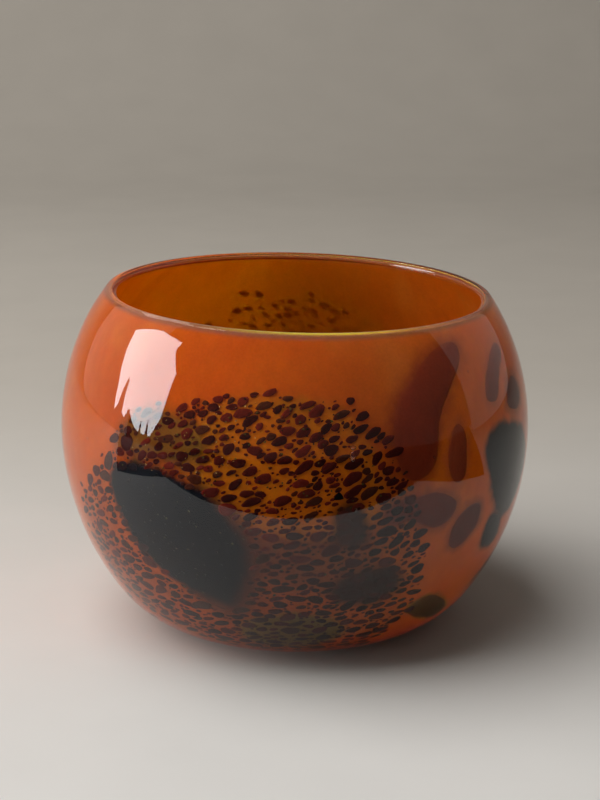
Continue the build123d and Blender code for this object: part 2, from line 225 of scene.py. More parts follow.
# ------------------------------------------------------------------ colour laid on the overlay
# Each patch: azimuth (degrees), height, outline (round the bowl, up the wall), edge softness, colour.
SLATE = (0.0035, 0.0045, 0.0075)
DUSK = (0.045, 0.016, 0.013)
VIOLET = (0.190, 0.020, 0.008)
ROSE = (0.330, 0.055, 0.020)
PLUM = (0.180, 0.027, 0.020)
OLIVE = (0.140, 0.090, 0.014)
SHADE = (0.105, 0.050, 0.008)
AMBER = (0.480, 0.130, 0.005)
MOSS = (0.220, 0.110, 0.006)
BROWN = (0.290, 0.048, 0.005)
# Painted reflection: the grey-taupe sheen of the clear glass at the lip, laid on the overlay's crest.
PAINTED_LIP_REFLECTION = (0.150, 0.066, 0.042)
patches = {
    "amber_ground_front": [
        (-2, 73, [(-27, 8), (-14, 17), (0, 17), (13, 15), (22, 5), (27, -8), (24, -19), (4, -21),
                  (-14, -18), (-27, -6)], 5.0, AMBER),
    ],
    "amber_ground_back": [
        (176, 66, [(-32, 4), (-18, 20), (4, 24), (26, 14), (33, -6), (16, -22), (-8, -26),
                   (-26, -16)], 5.0, AMBER),
    ],
    "slate_patch_front": [
        (-27, 50, [(-25, 4), (-25, 13), (-16, 18), (-4, 17), (8, 14), (18, 6), (23, -6), (20, -20),
                   (12, -29), (3, -25), (-8, -17), (-18, -7)], 1.8, SLATE),
    ],
    "slate_blob_right": [
        (64, 60, [(-18, 7), (-15, 13), (-8, 15), (2, 13), (11, 7), (15, -2), (10, -12), (1, -17),
                  (-8, -14), (-14, -5)], 2.4, SLATE),
        (56, 40, [(-1, 7), (6, 5), (9, -3), (5, -7), (-2, -5), (-4, 1)], 2.4, SLATE),
    ],
    "slate_merges_flank": [
        (14, 57, [(-7, 0), (-3, 4), (2, 2), (4, -8), (-1, -11), (-6, -9)], 4.0, DUSK),
        (20, 33, [(-14, -2), (-8, 5), (5, 6), (9, -3), (1, -8), (-9, -7)], 4.0, DUSK),
    ],
    "slate_patch_back": [
        (-160, 44, [(-18, 8), (-7, 16), (8, 14), (18, 4), (14, -12), (0, -18), (-14, -12)], 2.0, SLATE),
    ],
    "violet_petal_tall": [
        (32, 80, [(-13, 0), (-10, 9), (-4, 15), (6, 22), (16, 24), (19, 19), (11, 9), (5, -2), (2, -13),
                  (-5, -17), (-11, -13)], 5.5, VIOLET),
    ],
    "violet_petal_slim": [
        (41, 71, [(-6, 0), (-3, 7), (1, 9), (4, 3), (3, -8), (-1, -11), (-5, -7)], 3.4, ROSE),
    ],
    "violet_streaks_shoulder": [
        (57, 89, [(-6, -7), (-4, 0), (3, 7), (11, 9), (13, 5), (6, -2), (0, -9)], 4.0, ROSE),
        (68, 82, [(-8, -5), (-7, 1), (-1, 5), (5, 3), (7, -3), (1, -8)], 4.0, PLUM),
    ],
    "violet_petals_flank": [
        (30, 56, [(-13, 0), (-9, 4), (-3, 5), (6, 5), (14, 0), (12, -6), (5, -8), (-4, -4),
                  (-10, -4)], 3.2, PLUM),
        (44, 47, [(0, 7), (7, 6), (8, -1), (4, -6), (-2, -9), (-6, -6), (-6, 1)], 3.2, PLUM),
    ],
    "violet_streaks_low": [
        (66, 24, [(6, 6), (5, 0), (-2, -6), (-6, -5), (-1, 2)], 4.0, PLUM),
        (91, 40, [(6, 7), (5, -1), (-3, -7), (-7, -5), (-1, 3)], 4.0, PLUM),
    ],
    "violet_petals_back": [
        (108, 76, [(-7, 3), (0, 15), (7, 12), (6, -4), (0, -14), (-6, -9)], 4.0, VIOLET),
        (139, 58, [(-5, 6), (3, 13), (7, 4), (4, -9), (-2, -13), (-6, -5)], 4.0, VIOLET),
        (-118, 70, [(-8, 2), (-2, 12), (6, 13), (8, 1), (3, -12), (-5, -11)], 4.0, VIOLET),
        (-92, 52, [(-5, 5), (2, 11), (6, 4), (4, -8), (-1, -12), (-6, -5)], 4.0, VIOLET),
    ],
    "olive_patch_shoulder": [
        (-33, 75, [(-15, -4), (-13, 4), (-4, 9), (7, 9), (15, 5), (16, -2), (9, -5), (-3, -5)], 5.0, SHADE),
    ],
    "olive_patch_foot": [
        (-1, 16, [(-16, 0), (-8, 7), (4, 9), (14, 4), (15, -4), (6, -9), (-6, -9), (-14, -6)], 3.0, OLIVE),
    ],
    "olive_blob_right": [
        (40, 20, [(-8, 2), (-2, 5), (6, 2), (13, -6), (10, -10), (2, -8), (-6, -3)], 1.6, OLIVE),
    ],
}
SLOTS = {"amber": "amber_glass", "slate": "slate_glass", "violet": "violet_glass", "olive": "olive_glass"}


def smooth_loop(points, per_side=8):
    """Closed Catmull-Rom curve through the points."""
    p = np.array(points, float)
    a, b, c, d = np.roll(p, 1, 0), p, np.roll(p, -1, 0), np.roll(p, -2, 0)
    t = np.linspace(0, 1, per_side, endpoint=False)[:, None, None]
    curve = 0.5 * (2 * b + (c - a) * t + (2 * a - 5 * b + 4 * c - d) * t**2 + (3 * b - a - 3 * c + d) * t**3)
    return curve.transpose(1, 0, 2).reshape(-1, 2)


def inside_by(points, loop):
    """Signed distance (mm) from each 2-D point to the loop, positive inside."""
    a, b = loop, np.roll(loop, -1, 0)
    ab = b - a
    best = np.full(len(points), 1e9)
    crossing = np.zeros(len(points), bool)
    for k in range(len(a)):
        ap = points - a[k]
        t = np.clip((ap @ ab[k]) / (ab[k] @ ab[k]), 0, 1)
        best = np.minimum(best, np.hypot(*(ap - t[:, None] * ab[k]).T))
        cond = (a[k, 1] > points[:, 1]) != (b[k, 1] > points[:, 1])
        with np.errstate(divide="ignore", invalid="ignore"):
            xs = a[k, 0] + (points[:, 1] - a[k, 1]) * ab[k, 0] / ab[k, 1]
        crossing ^= cond & (points[:, 0] < xs)
    return np.where(crossing, best, -best)


def local_axes(azimuth, height):
    a = math.radians(azimuth)
    climb = ground.climb_at(height)
    o = ground.point(a, climb)
    n = ground.normal(a, climb)
    x = np.array([math.cos(a), math.sin(a), 0])
    return o, x, np.cross(n, x), n


# The field of frit on the front, as (azimuth in degrees, height).
FIELD = [(-60, 53), (-63, 34), (-58, 22), (-44, 14), (-21, 9), (2, 6), (19, 7), (30, 16), (33, 28),
         (31, 43), (28, 58), (24, 70), (21, 76), (16, 82), (11, 88), (1, 90), (-10, 90), (-22, 87),
         (-34, 84), (-43, 78), (-49, 66)]
PER_DEGREE = 1.25


def field(azimuth, height, soft=3.0):
    """How dense the frit lies: 1 in the thick of it, 0 outside."""
    loop = smooth_loop(FIELD, 4) * (PER_DEGREE, 1)
    q = np.stack([np.asarray(azimuth) * PER_DEGREE, np.asarray(height)], -1)
    return smooth(inside_by(q, loop), -soft, soft)


def tint(p):
    """Colour of the overlay's face at points p (mm): orange, with every patch of colour on it, and a painted
    grey reflection along the lip.
    """
    broad = clouds(p, 46, 3)
    wisps = clouds(p * np.array([1, 1, 0.45]), 15, 9)
    deep, warm, pale = np.array([(0.40, 0.050, 0.003), (0.46, 0.074, 0.004), (0.52, 0.130, 0.018)])
    colour = deep + (warm - deep) * smooth(broad + 0.25 * wisps, -0.55, 0.15)[:, None]
    colour = colour + (pale - colour) * (0.55 * smooth(broad * 0.6 + wisps, 0.05, 0.75))[:, None]
    warp = 1.0 * clouds(p, 5, 21)
    grain = 0.6 * noise(p, 1.6, 31)
    # Powdered frit dulls the orange between the grains on the front.
    azimuth = np.degrees(np.arctan2(p[:, 0], -p[:, 1]))
    powder = field(azimuth + 2 * warp, p[:, 2] + 2 * warp, 5.0) * smooth(clouds(p, 7, 44) + 0.25, -0.6, 0.6)
    colour = colour + (np.array(BROWN) - colour) * (0.75 * powder)[:, None]
    smoke = np.hypot((azimuth - 5) / 20, (p[:, 2] - 44) / 14) + 0.25 * warp
    colour = colour + (np.array(DUSK) - colour) * (0.6 * smooth(-smoke, -1.15, -0.45))[:, None]
    for name, parts in patches.items():
        for azimuth, height, outline, soft, shade in parts:
            o, x, y, n = local_axes(azimuth, height)
            d = p - o
            near = (np.abs(d @ x) < 42) & (np.abs(d @ y) < 42) & ((d @ n) > -34)
            if not near.any():
                continue
            q = np.stack([d[near] @ x, d[near] @ y], 1)
            s = inside_by(q, smooth_loop(outline)) + (warp + grain)[near] * min(1.0, soft / 2)
            if name.startswith("slate_patch"):
                # The slate fades out into the frit to the right and stays sharp on the left.
                soft = soft + 9.0 * smooth(q[:, 0], -8, 14) * smooth(-q[:, 1], -30, 16)
            cover = smooth(s, -soft * 0.7, soft * 0.6)
            shade = np.array(shade)[None, :] * (1 + 0.35 * wisps[near, None])
            if name.startswith("amber"):
                mossy = smooth(clouds(p[near], 11, 55) - q[:, 0] / 60, -0.05, 0.55)
                shade = shade + (np.array(MOSS) - shade) * (0.45 * mossy)[:, None]
                cover = cover * (0.92 if abs(azimuth) < 90 else 0.35)
            elif not name.startswith("slate"):
                cover = cover * (0.86 + 0.12 * wisps[near])
            colour[near] += (shade - colour[near]) * cover[:, None]
    # Painted reflection: the clear glass at the lip shows a grey sheen, so grey-taupe is painted on the
    # overlay's crest under it.
    crest = smooth(p[:, 2] - RIM_Z + p[:, 0] * math.tan(RIM_TILT), -2.4, -0.9)
    colour = colour + (np.array(PAINTED_LIP_REFLECTION) - colour) * (0.85 * crest)[:, None]
    return np.clip(colour, 0.002, 1)


# ------------------------------------------------------------------ glass bodies
def lip(azimuth, end, theta):
    """Ring on the rounded lip: theta 0 is the outer face, pi the inner face."""
    middle = Wall(WALL / 2, FLOOR_CASING)
    base = middle.point(azimuth, end)
    n = middle.normal(azimuth, end)
    slope = middle.section(end)[2]
    t = np.stack([-np.sin(slope) * np.sin(azimuth), np.sin(slope) * np.cos(azimuth), np.cos(slope)], -1)
    return base + n * (WALL / 2 * math.cos(theta)) + t * (LIP_RISE * math.sin(theta))


LIP_RISE = 1.35
AROUND = 480
turns = np.linspace(0, 2 * math.pi, AROUND, endpoint=False)


def ends(wall, azimuth):
    """Climb at which a wall's straight run ends and the lip begins."""
    return wall.rim(azimuth) - 1.1


def hand(p, n, amount=1.0):
    """Slight unevenness of hand-blown glass, along the normal."""
    wave = 0.16 * noise(p, 34, 71) + 0.07 * noise(p, 14, 72)
    return p + n * (wave * amount)[:, None]


def run(wall, azimuth, steps, lift=0.0, uneven=0.0, low=None):
    """Rings from the middle of the floor up to the lip on one wall surface."""
    rings = []
    top = ends(wall, azimuth)
    flat = np.linspace(wall.centre, wall.foot_end, 14)[:-1]
    for climb in flat:
        p = wall.point(azimuth, np.full(azimuth.shape, climb), lift)
        rings.append(p)
    for k in range(steps + 1):
        climb = wall.foot_end + (top - wall.foot_end) * k / steps
        p = wall.point(azimuth, climb, lift)
        if uneven:
            share = np.array([k / steps])
            fade = float(smooth(share, 0.0, 0.12)[0] * (1 - 0.7 * smooth(share, 0.93, 1.0)[0]))
            p = hand(p, wall.normal(azimuth, climb), uneven * fade)
        rings.append(p)
    return rings


def glass_casing():
    rings = run(outer, turns, 170, uneven=1.0)
    sphere = (PONTIL_R**2 + PONTIL_DEPTH**2) / (2 * PONTIL_DEPTH)
    for ring in rings:
        r = np.hypot(ring[:, 0], ring[:, 1])
        if r[0] < PONTIL_R:
            ring[:, 2] = np.sqrt(sphere**2 - r**2) - sphere + PONTIL_DEPTH
        elif ring[0, 2] < 1e-6:
            ring[:, 2] = 0.0
    end = ends(outer, turns)
    middle_end = ends(Wall(WALL / 2, FLOOR_CASING), turns)
    for theta in np.linspace(0, math.pi / 2, 9)[1:]:
        rings.append(lip(turns, middle_end, theta))
    hidden = run(ground, turns, 120, lift=-0.03)
    top = rings[-1] + (hidden[-1] - rings[-1]) * 0.5
    return lathe("outer_clear_casing_glass", rings + [top] + hidden[::-1])


def glass_gather():
    inner = run(cavity, turns, 150, uneven=-0.6)
    middle_end = ends(Wall(WALL / 2, FLOOR_CASING), turns)
    cap = [lip(turns, middle_end, theta) for theta in np.linspace(math.pi / 2, math.pi, 9)[:-1]]
    for ring in cap[:1]:
        ring -= ground.normal(turns, middle_end) * 0.01
    hidden = run(under, turns, 120, lift=0.03)
    return lathe("inner_clear_gather_glass", hidden + [hidden[-1] * 0.5 + cap[0] * 0.5] + cap + inner[::-1])


def orange_layer():
    fine = np.linspace(0, 2 * math.pi, 760, endpoint=False)
    face = run(ground, fine, 240)
    back = run(under, fine, 110)
    top = ends(Wall(CASING + OVERLAY / 2, FLOOR_CASING), fine)
    crest = Wall(CASING + OVERLAY / 2, FLOOR_CASING).point(fine, top + 0.55)
    obj = lathe("orange_overlay_glass", face + [crest] + back[::-1])
    paint(obj, tint(points_of(obj)))
    return obj


# ------------------------------------------------------------------ materials
def material(name, colour, roughness=0.5, **sockets):
    mat = bpy.data.materials.new(name)
    mat.use_nodes = True
    shader = mat.node_tree.nodes["Principled BSDF"]
    shader.inputs["Base Color"].default_value = (*colour, 1)
    shader.inputs["Roughness"].default_value = roughness
    for key, value in sockets.items():
        shader.inputs[key.replace("_", " ")].default_value = value
    mat.diffuse_color = (*colour, 1)
    return mat, mat.node_tree, shader


def add_node(tree, kind, **values):
    node = tree.nodes.new(kind)
    for key, value in values.items():
        if key in node.inputs:
            node.inputs[key].default_value = value
        else:
            setattr(node, key, value)
    return node


def mottle(tree, source, target, size, low, high, detail=4.0, stretch=(1, 1, 1)):
    """Multiplies a colour by soft noise, features about size metres across."""
    where = add_node(tree, "ShaderNodeTexCoord")
    mapping = add_node(tree, "ShaderNodeMapping")
    mapping.inputs["Scale"].default_value = stretch
    tree.links.new(where.outputs["Object"], mapping.inputs["Vector"])
    tex = add_node(tree, "ShaderNodeTexNoise")
    tex.inputs["Scale"].default_value = 1 / size
    tex.inputs["Detail"].default_value = detail
    tree.links.new(mapping.outputs["Vector"], tex.inputs["Vector"])
    ramp = add_node(tree, "ShaderNodeMapRange")
    ramp.inputs["From Min"].default_value = 0.3
    ramp.inputs["From Max"].default_value = 0.7
    ramp.inputs["To Min"].default_value = low
    ramp.inputs["To Max"].default_value = high
    tree.links.new(tex.outputs["Fac"], ramp.inputs["Value"])
    mix = add_node(tree, "ShaderNodeMix", data_type="RGBA", blend_type="MULTIPLY")
    mix.inputs["Factor"].default_value = 1.0
    tree.links.new(source, mix.inputs[6])
    tree.links.new(ramp.outputs["Result"], mix.inputs[7])
    tree.links.new(mix.outputs[2], target)
    return mix


def painted(name, roughness, scatter, radius, viewport, grain=0.06):
    """Coloured glass under the casing: painted tint, fine mottling, light scattered inside it."""
    mat, tree, shader = material(name, viewport, roughness)
    shader.inputs["Specular IOR Level"].default_value = 0.0
    shader.inputs["Subsurface Weight"].default_value = scatter
    shader.inputs["Subsurface Radius"].default_value = radius
    shader.inputs["Subsurface Scale"].default_value = 1.0
    tints = add_node(tree, "ShaderNodeVertexColor", layer_name="Tint")
    step = add_node(tree, "ShaderNodeMix", data_type="RGBA", blend_type="MULTIPLY")
    step.inputs["Factor"].default_value = 1.0
    step.inputs[7].default_value = (1, 1, 1, 1)
    mottle(tree, tints.outputs["Color"], step.inputs[6], 0.0032, 1 - grain, 1 + grain, stretch=(1, 1, 0.5))
    mottle(tree, step.outputs[2], shader.inputs["Base Color"], 0.0007, 1 - grain, 1 + grain, detail=2.0)
    return mat


def clear_glass(name, colour):
    mat, tree, shader = material(name, colour, 0.0)
    shader.inputs["Transmission Weight"].default_value = 1.0
    shader.inputs["IOR"].default_value = 1.5
    where = add_node(tree, "ShaderNodeTexCoord")
    smear = add_node(tree, "ShaderNodeTexNoise")
    smear.inputs["Scale"].default_value = 38.0
    smear.inputs["Detail"].default_value = 5.0
    tree.links.new(where.outputs["Object"], smear.inputs["Vector"])
    polish = add_node(tree, "ShaderNodeMapRange")
    polish.inputs["From Min"].default_value = 0.45
    polish.inputs["From Max"].default_value = 0.8
    polish.inputs["To Min"].default_value = 0.0
    polish.inputs["To Max"].default_value = 0.045
    tree.links.new(smear.outputs["Fac"], polish.inputs["Value"])
    tree.links.new(polish.outputs["Result"], shader.inputs["Roughness"])
    ripple = add_node(tree, "ShaderNodeTexNoise")
    ripple.inputs["Scale"].default_value = 70.0
    ripple.inputs["Detail"].default_value = 1.0
    tree.links.new(where.outputs["Object"], ripple.inputs["Vector"])
    bump = add_node(tree, "ShaderNodeBump")
    bump.inputs["Strength"].default_value = 0.12
    bump.inputs["Distance"].default_value = 0.0004
    tree.links.new(ripple.outputs["Fac"], bump.inputs["Height"])
    tree.links.new(bump.outputs["Normal"], shader.inputs["Normal"])
    return mat


ORANGE_GLOW = (0.0046, 0.0034, 0.0004)
DARK_GLOW = (0.0010, 0.0003, 0.0002)
orange_mat = painted("orange_opal_glass", 0.5, 0.75, ORANGE_GLOW, (0.8, 0.2, 0.02))
sheet_mat = painted("colour_sheet_glass", 0.4, 0.35, DARK_GLOW, (0.3, 0.1, 0.03))
frit_mat = painted("maroon_frit_glass", 0.35, 0.25, DARK_GLOW, (0.12, 0.02, 0.02), 0.14)
casing_mat = clear_glass("clear_casing_glass", (1.0, 0.99, 0.97))
gather_mat = clear_glass("clear_gather_glass", (1.0, 0.985, 0.96))
# The amber ground lies in the casing with no gap, so it only filters the light.
amber_mat, amber_tree, amber_shader = material(
    "amber_ground_glass", (0.9, 0.7, 0.35), 0.0, Transmission_Weight=1.0, IOR=1.0
)
amber_rgb = add_node(amber_tree, "ShaderNodeRGB")
amber_rgb.outputs[0].default_value = (0.96, 0.80, 0.45, 1)
mottle(amber_tree, amber_rgb.outputs[0], amber_shader.inputs["Base Color"], 0.004, 0.85, 1.0)
gold_mat, gold_tree, gold_shader = material("gold_fleck", (0.9, 0.62, 0.2), 0.25, Metallic=1.0)
gold_rgb = add_node(gold_tree, "ShaderNodeRGB")
gold_rgb.outputs[0].default_value = (0.95, 0.66, 0.22, 1)
mottle(gold_tree, gold_rgb.outputs[0], gold_shader.inputs["Base Color"], 0.0006, 0.6, 1.1)
air_mat, _, air_shader = material("seed_bubble_air", (1, 1, 1), 0.0, Transmission_Weight=1.0)
air_shader.inputs["IOR"].default_value = 1 / 1.5


def dress(obj, mat, slot_name, *replaced):
    obj.data.materials.clear()
    obj.data.materials.append(mat)
    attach(obj, "root")
    if replaced:
        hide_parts(*replaced)
    return obj


casing = dress(glass_casing(), casing_mat, "clear_glass", "outer_clear_casing")
gather = dress(glass_gather(), gather_mat, "clear_glass", "inner_clear_gather")
casing.visible_shadow = False
gather.visible_shadow = False
dress(orange_layer(), orange_mat, "orange_glass", "orange_overlay")


# ------------------------------------------------------------------ sheets of colour
def place(azimuth, height, x, y, lift):
    """Point on the wall at (x round the bowl, y up the wall) from a place, lifted off the overlay."""
    climb = ground.climb_at(height) + y
    radius = np.maximum(ground.section(climb)[0], 5.0)
    return ground.point(math.radians(azimuth) + x / radius, climb, lift)


def pillow(centre, loop, lift, thickness, rings=7, flatness=2):
    """Thin cushion of glass over a loop: points and faces, tapering to nothing at its edge."""
    azimuth, height = centre
    middle = loop.mean(0)
    pts, faces = [], []
    n = len(loop)
    shares = 1 - np.linspace(1, 0, rings) ** 1.6
    for side in (1, 0):
        for k, share in enumerate(shares):
            q = middle + (loop - middle) * share
            rise = thickness * (1 - share**flatness) ** 0.5 if side else 0.0
            ring = place(azimuth, height, q[:, 0], q[:, 1], lift + rise)
            if k == 0:
                ring = ring[:1]
            pts.append(ring)
    starts = np.cumsum([0] + [len(r) for r in pts])
    for side in (0, 1):
        base = side * rings
        flip = side == 1
        for k in range(rings - 1):
            a, b = starts[base + k], starts[base + k + 1]
            for i in range(n):
                j = (i + 1) % n
                f = (a, b + i, b + j) if k == 0 else (a + i, b + i, b + j, a + j)
                faces.append(tuple(int(v) for v in (f[::-1] if flip else f)))
    top, bottom = starts[rings - 1], starts[2 * rings - 1]
    for i in range(n):
        j = (i + 1) % n
        faces.append(tuple(int(v) for v in (top + i, bottom + i, bottom + j, top + j)))
    return np.concatenate(pts), faces


def gather_up(name, lumps):
    """One object from many (points, faces)."""
    pts, faces, base = [], [], 0
    for p, f in lumps:
        pts.append(p)
        faces += [tuple(v + base for v in face) for face in f]
        base += len(p)
    return make_mesh(name, np.concatenate(pts), faces)


for name, parts in patches.items():
    lumps = []
    for azimuth, height, outline, soft, shade in parts:
        loop = smooth_loop(outline, 10)
        middle = loop.mean(0)
        reach = np.hypot(*(loop - middle).T)[:, None]
        loop = middle + (loop - middle) * (1 - np.minimum(0.25, (0.4 + soft * 0.25) / reach))
        world = place(azimuth, height, loop[:, 0], loop[:, 1], 0.0)
        loop = loop + (loop - middle) / reach * (0.5 * clouds(world, 4, 91))[:, None]
        thickness = 0.12 if name.startswith("amber") else 0.26
        lumps.append(pillow((azimuth, height), loop, -0.05, thickness + 0.05, rings=16))
    sheet = gather_up(name + "_glass", lumps)
    paint(sheet, tint(points_of(sheet)))
    sheet.visible_shadow = not name.startswith("amber")
    dress(sheet, amber_mat if name.startswith("amber") else sheet_mat, SLOTS[name.split("_")[0]], name)


# ------------------------------------------------------------------ frit
def islands(obj):
    """Separate solids of a CAD node: centre, long half-axis vector and half sizes, in mm."""
    p = points_of(obj)
    key = np.round(p, 3)
    _, ids = np.unique(key, axis=0, return_inverse=True)
    ids = ids.reshape(-1)
    parent = list(range(ids.max() + 1))

    def root(i):
        while parent[i] != i:
            parent[i] = parent[parent[i]]
            i = parent[i]
        return i

    for edge in obj.data.edges:
        a, b = root(ids[edge.vertices[0]]), root(ids[edge.vertices[1]])
        parent[a] = b
    groups = {}
    for v, i in enumerate(ids):
        groups.setdefault(root(i), []).append(v)
    found = []
    for members in groups.values():
        q = np.unique(key[members], axis=0)
        centre = (q.max(0) + q.min(0)) / 2
        spread = q - q.mean(0)
        _, vectors = np.linalg.eigh(spread.T @ spread)
        half_length, half_width = (np.abs(spread @ vectors[:, axis]).max() for axis in (2, 1))
        found.append((centre, vectors[:, 2], half_length, half_width))
    return sorted(found, key=lambda item: tuple(item[0]))


def chip_shape(rng, centre, half_length, half_width, lean, lift, thickness, points=14, rings=4):
    """A melted chip with an uneven outline, lying along the wall."""
    t = np.linspace(0, 2 * math.pi, points, endpoint=False)
    bumps = 1 + 0.10 * np.sin(2 * t + rng.uniform(0, 6.3)) + 0.07 * np.sin(3 * t + rng.uniform(0, 6.3))
    bumps = bumps + 0.04 * np.sin(5 * t + rng.uniform(0, 6.3))
    x, y = half_length * bumps * np.cos(t), half_width * bumps * np.sin(t)
    c, s = math.cos(lean), math.sin(lean)
    loop = np.stack([x * c - y * s, x * s + y * c], 1)
    return pillow(centre, loop, lift, thickness, rings=rings, flatness=6)


def where_is(point):
    """(azimuth in degrees, height on the overlay, climb) of a point near the wall."""
    azimuth = math.atan2(point[0], -point[1])
    r = math.hypot(point[0], point[1])
    z = point[2]
    if z >= BELLY_Z:
        climb = math.atan2(z - BELLY_Z, r - SHOULDER_X) * ground.shoulder_r
    else:
        climb = math.atan2(z - BELLY_Z, r - FLANK_X) * ground.flank_r
        if climb < ground.flank_end:
            slope = math.atan2(z - ground.foot_z, r - ground.foot_x)
            climb = ground.flank_end + (slope - ground.turn) * ground.foot_r
    height = float(ground.section(climb)[1])
    return math.degrees(azimuth), height, climb


def lean_of(azimuth, height, direction):
    o, x, y, n = local_axes(azimuth, height)
    lean = math.atan2(direction @ y, direction @ x)
    return lean if abs(lean) <= math.pi / 2 else lean - math.copysign(math.pi, lean)


CHIP_LIFT, CHIP_RISE = 0.32, 0.20
frit_nodes = [n for n in nodes if n.startswith("frit_chips")]
taken = np.zeros((9000, 5))
taken_count = 0
chips = {}


def take(*grain):
    global taken_count
    taken[taken_count] = grain
    taken_count += 1


for name in sorted(frit_nodes):
    chips[name] = []
    for centre, direction, half_length, half_width in islands(nodes[name]):
        azimuth, height, climb = where_is(centre)
        lean = lean_of(azimuth, height, direction)
        chips[name].append((azimuth, height, half_length * 1.06, half_width * 1.12, lean))
        take(azimuth, climb, half_length, half_width, lean)

# Finer frit between the modelled chips, spaced so that clear lines are left between the grains.
rng = np.random.default_rng(5)


def spaced(azimuth, climb, half_length, half_width, lean, gap):
    data = taken[:taken_count]
    data = data[np.abs(data[:, 1] - climb) < 8]
    if not len(data):
        return True
    dx = np.radians(data[:, 0] - azimuth)
    dx = (dx + math.pi) % (2 * math.pi) - math.pi
    dx = dx * float(ground.section(climb)[0])
    dy = data[:, 1] - climb
    c, s = math.cos(lean), math.sin(lean)
    along = (dx * c + dy * s) / (data[:, 2] + half_length + gap)
    across = (dy * c - dx * s) / (data[:, 3] + half_width + gap)
    return np.hypot(along, across).min() > 1


def sprinkle(count, azimuths, heights, lengths, slim, lean_mid, lean_spread, gap, density):
    """Random grains, kept where the density allows and where they clear all the others."""
    azimuth = rng.uniform(*azimuths, count)
    height = rng.uniform(*heights, count)
    half_length = rng.uniform(*lengths, count) / 2
    half_width = half_length * rng.uniform(*slim, count)
    lean = np.radians(lean_mid(height) + rng.uniform(-lean_spread, lean_spread, count))
    keep = rng.random(count) < density(azimuth, height)
    made = []
    for k in np.flatnonzero(keep):
        grain = (azimuth[k], height[k], half_length[k], half_width[k], lean[k])
        climb = ground.climb_at(height[k])
        if spaced(azimuth[k], climb, *grain[2:], gap):
            take(azimuth[k], climb, *grain[2:])
            made.append(grain)
    return made


def front_lean(height):
    return 4 + 22 * smooth(height, 25, 80)


SLATE_LOOP = smooth_loop(patches["slate_patch_front"][0][2])


def on_slate(azimuth, height):
    """1 well inside the front slate patch, 0 outside it."""
    q = np.stack([(np.asarray(azimuth) + 27) * PER_DEGREE, np.asarray(height) - 50], -1)
    return smooth(inside_by(q, SLATE_LOOP), -1.0, 4.0)


def off_slate(azimuth, height):
    """The frit field, thinned out where the slate lies."""
    return field(azimuth, height) * (1 - 0.93 * on_slate(azimuth, height))


fine = []
fine += sprinkle(2400, (-64, 34), (7, 92), (3.0, 6.0), (0.42, 0.66), front_lean, 16, 0.06, off_slate)
fine += sprinkle(4200, (-64, 34), (7, 92), (1.8, 3.4), (0.45, 0.75), front_lean, 20, 0.05, off_slate)
fine += sprinkle(4600, (-64, 34), (7, 92), (0.8, 1.8), (0.5, 0.85), front_lean, 26, 0.05, off_slate)
fine += sprinkle(1300, (155, 200), (48, 92), (1.8, 4.4), (0.4, 0.65), lambda h: 20 + 0 * h, 26, 0.35,
                 lambda a, h: np.exp(-((a - 177) / 17) ** 4 - ((h - 68) / 18) ** 4))
fine += sprinkle(130, (-165, -98), (14, 84), (1.2, 4.0), (0.4, 0.7), lambda h: 20 + 0 * h, 30, 0.5,
                 lambda a, h: 0.5 + 0 * h)


def chip_colours(lumps, seed):
    """Maroon to near black, chip by chip; almost lost where the chip lies on slate."""
    local = np.random.default_rng(seed)
    dark = np.array((0.022, 0.0032, 0.0024))
    red = np.array((0.095, 0.009, 0.0045))
    brown = np.array((0.045, 0.010, 0.004))
    under_chip = tint(np.array([p.mean(0) for p, f in lumps]))
    colours = []
    for (p, f), below in zip(lumps, under_chip):
        pick = local.random()
        base = dark + (red - dark) * local.random() ** 1.4 if pick < 0.8 else brown
        share = 0.08 + 0.92 * float(smooth(below[:1], 0.01, 0.12)[0])
        base = below + (base - below) * share
        colours.append(np.repeat(base[None, :], len(p), 0))
    return np.concatenate(colours)


def build_frit(name, places, seed, replaced=()):
    local = np.random.default_rng(seed)
    lumps = []
    sunk = on_slate([place[0] for place in places], [place[1] for place in places]) > 0.55
    for (azimuth, height, half_length, half_width, lean), hidden in zip(places, sunk):
        # A chip that melted into the slate sank under its face.
        lift, rise = (-0.04, 0.06) if hidden else (CHIP_LIFT, min(CHIP_RISE, 0.15 * half_width + 0.06))
        lumps.append(chip_shape(local, (azimuth, height), half_length, half_width, lean, lift, rise))
    obj = gather_up(name, lumps)
    paint(obj, chip_colours(lumps, seed + 1))
    return dress(obj, frit_mat, "maroon_frit", *replaced)


for k, name in enumerate(sorted(chips)):
    build_frit(name + "_glass", chips[name], 100 + k, (name,))
build_frit("fine_frit_glass", fine, 300)


# Tiny specks: black and olive dots, and a few gold flecks.
def specks(name, count, sizes, mat, slot_name, colours, seed, azimuths=(-50, 26), heights=(12, 92)):
    local = np.random.default_rng(seed)
    lumps, tones = [], []
    azimuth_list = local.uniform(*azimuths, 3 * count)
    height_list = local.uniform(*heights, 3 * count)
    keep = np.flatnonzero(local.random(3 * count) < field(azimuth_list, height_list))[:count]
    for azimuth, height in zip(azimuth_list[keep], height_list[keep]):
        half = local.uniform(*sizes) / 2
        half_width, lean = half * local.uniform(0.6, 1), local.uniform(-0.4, 0.9)
        lump = chip_shape(local, (azimuth, height), half, half_width, lean,
                          CHIP_LIFT + 0.25, half * 0.5, points=8, rings=3)
        lumps.append(lump)
        tone = np.array(colours[local.integers(len(colours))])
        tones.append(np.repeat(tone[None, :], len(lump[0]), 0))
    obj = gather_up(name, lumps)
    paint(obj, np.concatenate(tones))
    return dress(obj, mat, slot_name)


specks("fine_specks", 520, (0.25, 0.8), frit_mat, "maroon_frit",
       [(0.006, 0.006, 0.004), (0.05, 0.045, 0.01), (0.02, 0.008, 0.004)], 41)
specks("gold_flecks", 46, (0.25, 0.6), gold_mat, "amber_glass", [(0.9, 0.6, 0.2)], 42,
       azimuths=(-40, -8), heights=(66, 90))

